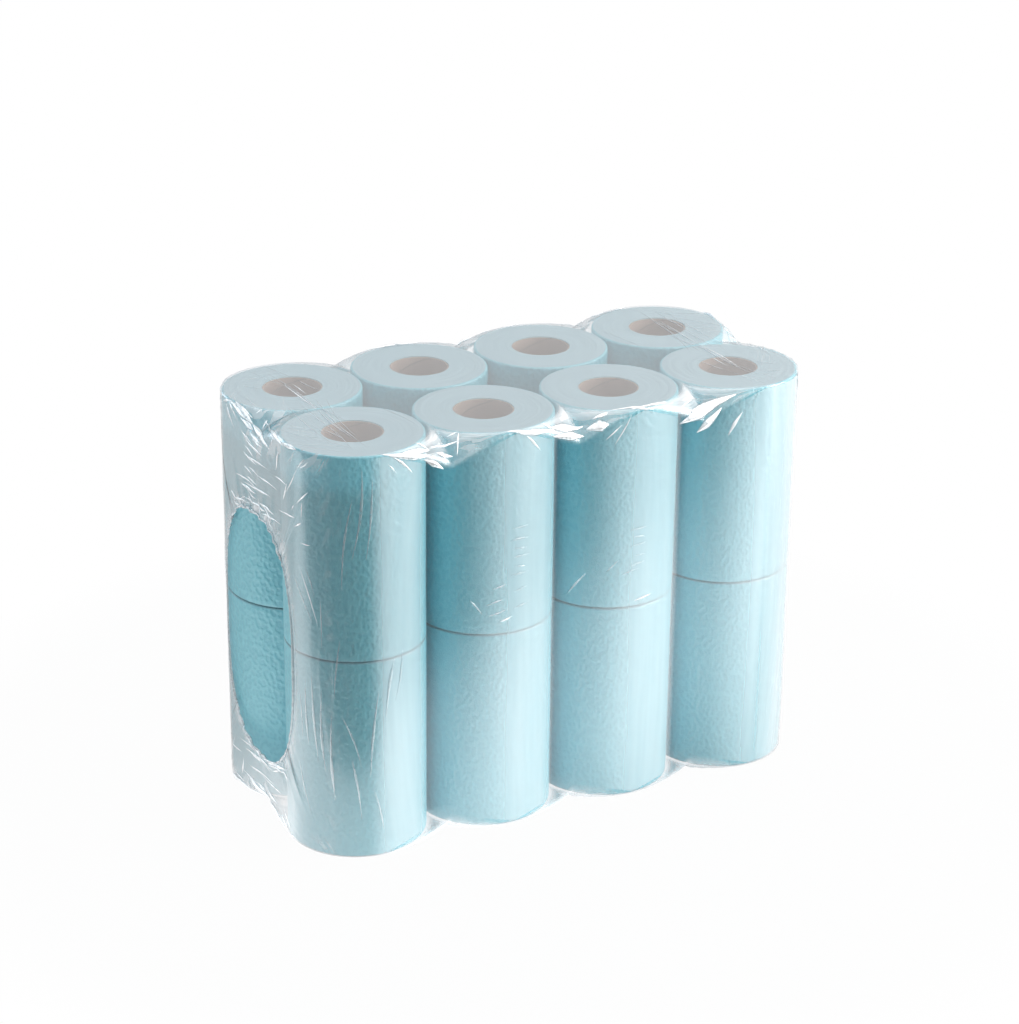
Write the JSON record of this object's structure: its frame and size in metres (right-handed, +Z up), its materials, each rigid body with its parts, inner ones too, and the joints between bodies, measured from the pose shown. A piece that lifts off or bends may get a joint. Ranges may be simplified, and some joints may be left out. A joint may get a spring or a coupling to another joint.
{
  "type": "pack of paper towel rolls",
  "caption": "Shrink-wrapped block of upright pale blue paper towel rolls on cardboard cores, in clear film that leaves an oval opening at each end.",
  "frame": {"origin": "middle of the pack's footprint, on the surface it stands on", "axes": "+X along the long side to the right, +Y to the back, +Z up; the front is -Y"},
  "size_m": [0.542, 0.268, 0.4013],
  "materials": {
    "paper": "creped and embossed, matt",
    "core_board": "plain, matt",
    "film": "clear shrink film, glossy, wrinkled at the ends"
  },
  "bodies": {
    "root": {"roll_lower_front_1": "paper", "roll_lower_front_2": "paper", "roll_lower_front_3": "paper", "roll_lower_front_4": "paper", "roll_lower_back_1": "paper", "roll_lower_back_2": "paper", "roll_lower_back_3": "paper", "roll_lower_back_4": "paper", "roll_upper_front_1": "paper", "roll_upper_front_2": "paper", "roll_upper_front_3": "paper", "roll_upper_front_4": "paper", "roll_upper_back_1": "paper", "roll_upper_back_2": "paper", "roll_upper_back_3": "paper", "roll_upper_back_4": "paper", "core_lower_front_1": "core_board", "core_lower_front_2": "core_board", "core_lower_front_3": "core_board", "core_lower_front_4": "core_board", "core_lower_back_1": "core_board", "core_lower_back_2": "core_board", "core_lower_back_3": "core_board", "core_lower_back_4": "core_board", "core_upper_front_1": "core_board", "core_upper_front_2": "core_board", "core_upper_front_3": "core_board", "core_upper_front_4": "core_board", "core_upper_back_1": "core_board", "core_upper_back_2": "core_board", "core_upper_back_3": "core_board", "core_upper_back_4": "core_board", "film": "film"}
  },
  "joints": []
}
